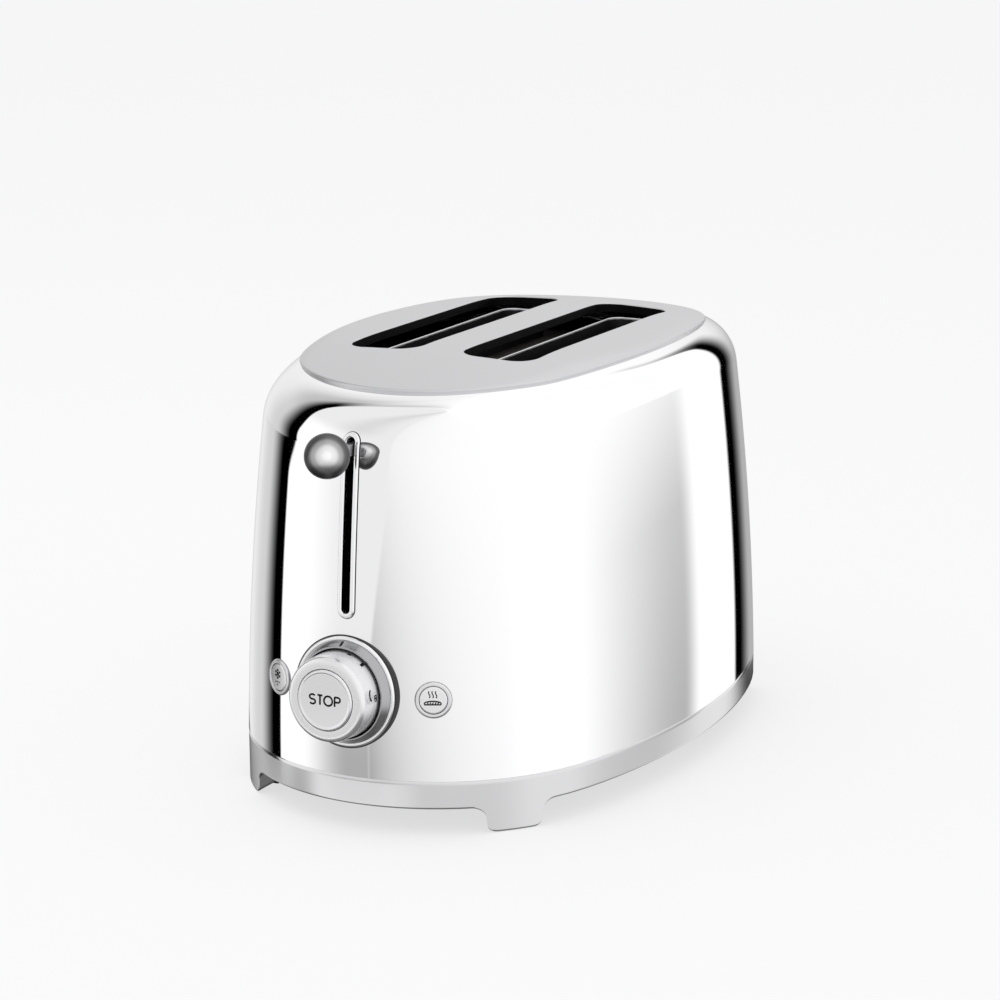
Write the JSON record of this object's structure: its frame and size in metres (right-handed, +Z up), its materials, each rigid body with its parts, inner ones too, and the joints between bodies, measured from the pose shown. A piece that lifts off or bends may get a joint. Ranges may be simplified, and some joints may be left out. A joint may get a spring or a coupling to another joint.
{
  "type": "two slot pop-up toaster",
  "caption": "Pop-up toaster with an oval mirror casing, satin top plate with long bread slots, ball lever, browning dial with a stop button and a pull-out crumb tray.",
  "frame": {"origin": "middle of the space that the toaster takes up, on the surface that its feet stand on", "axes": "+Z up, +Y along the length from the lever end to the back, +X across the slots, to the right when facing +Y"},
  "size_m": [0.195, 0.3276, 0.1975],
  "materials": {
    "mirror_steel": "mirror polished",
    "satin_steel": "satin",
    "satin_casting": "satin",
    "rubber_pads": "matte",
    "dark_steel": "dark heat tinted",
    "inner_steel": "plain rolled",
    "heater_wire": "plain",
    "mica_board": "mica sheet",
    "copper_coil": "enamelled copper",
    "black_plastic": "matte",
    "silver_plastic": "satin silver",
    "green_board": "lacquered"
  },
  "bodies": {
    "housing": {"base_plate": "dark_steel", "base_screws": "dark_steel", "base_skirt": "satin_casting", "board_stand": "black_plastic", "body_shell": "mirror_steel", "chassis_front": "inner_steel", "chassis_rear": "inner_steel", "chassis_top": "dark_steel", "contact_block": "black_plastic", "control_board": "green_board", "cord_gland": "black_plastic", "defrost_bezel": "mirror_steel", "defrost_switch": "black_plastic", "dial_control": "black_plastic", "dial_ring": "mirror_steel", "foot_pads": "rubber_pads", "guide_rods": "inner_steel", "heat_shield_left": "inner_steel", "heat_shield_right": "inner_steel", "heater_board_1": "mica_board", "heater_board_2": "mica_board", "heater_board_3": "mica_board", "heater_board_4": "mica_board", "heater_ribbons": "heater_wire", "lift_spring": "inner_steel", "magnet_bracket": "dark_steel", "magnet_coil": "copper_coil", "magnet_core": "dark_steel", "reheat_bezel": "mirror_steel", "reheat_switch": "black_plastic", "slot_liner_left": "dark_steel", "slot_liner_right": "dark_steel", "slot_rim": "mirror_steel", "stop_switch": "black_plastic", "terminal_block": "black_plastic", "top_plate": "satin_steel", "tray_rails": "inner_steel"},
    "lever": {"lever_arm": "mirror_steel", "lever_ball": "mirror_steel", "carriage_plate": "inner_steel", "bread_lifter_left": "inner_steel", "bread_lifter_right": "inner_steel", "keeper_plate": "inner_steel"},
    "knob": {"browning_knob": "silver_plastic"},
    "stop": {"stop_button": "silver_plastic"},
    "reheat": {"reheat_button": "silver_plastic"},
    "defrost": {"defrost_button": "silver_plastic"},
    "tray": {"crumb_tray": "inner_steel"},
    "guide_1": {"bread_guide_1": "inner_steel"},
    "guide_2": {"bread_guide_2": "inner_steel"},
    "guide_3": {"bread_guide_3": "inner_steel"},
    "guide_4": {"bread_guide_4": "inner_steel"}
  },
  "joints": [
    {"name": "lever_slide", "type": "slide", "parent": "housing", "child": "lever", "axis": [0, 0, -1], "range_m": [0, 0.066], "stiffness_N_per_m": 60, "springref_m": -0.06, "deforming": ["lift_spring"]},
    {"name": "knob_turn", "type": "hinge", "parent": "housing", "child": "knob", "pos_m": [0, -0.14299, 0.061], "axis": [0, -0.999, 0.0452], "range_deg": [-135, 135]},
    {"name": "stop_press", "type": "slide", "parent": "housing", "child": "stop", "axis": [0, 0.999, -0.0452], "range_m": [0, 0.0015], "stiffness_N_per_m": 400, "springref_m": -0.002},
    {"name": "reheat_press", "type": "slide", "parent": "housing", "child": "reheat", "axis": [-0.4372, 0.8982, -0.0452], "range_m": [0, 0.0015], "stiffness_N_per_m": 400, "springref_m": -0.0015},
    {"name": "defrost_press", "type": "slide", "parent": "housing", "child": "defrost", "axis": [0.4372, 0.8982, -0.0452], "range_m": [0, 0.0015], "stiffness_N_per_m": 400, "springref_m": -0.0015},
    {"name": "tray_pull", "type": "slide", "parent": "housing", "child": "tray", "axis": [0, 1, 0], "range_m": [0, 0.2]},
    {"name": "guide_1_lean", "type": "hinge", "parent": "housing", "child": "guide_1", "pos_m": [-0.0408, 0.0138, 0.046], "axis": [0, 1, 0], "range_deg": [0, 3.2]},
    {"name": "guide_2_lean", "type": "hinge", "parent": "housing", "child": "guide_2", "pos_m": [-0.0158, 0.0138, 0.046], "axis": [0, -1, 0], "range_deg": [0, 3.2]},
    {"name": "guide_3_lean", "type": "hinge", "parent": "housing", "child": "guide_3", "pos_m": [0.0158, 0.0138, 0.046], "axis": [0, 1, 0], "range_deg": [0, 3.2]},
    {"name": "guide_4_lean", "type": "hinge", "parent": "housing", "child": "guide_4", "pos_m": [0.0408, 0.0138, 0.046], "axis": [0, -1, 0], "range_deg": [0, 3.2]}
  ],
  "couplings": [
    {"joint": "guide_1_lean", "follows": "lever_slide", "rad_per_m": 0.846},
    {"joint": "guide_2_lean", "follows": "lever_slide", "rad_per_m": 0.846},
    {"joint": "guide_3_lean", "follows": "lever_slide", "rad_per_m": 0.846},
    {"joint": "guide_4_lean", "follows": "lever_slide", "rad_per_m": 0.846}
  ]
}
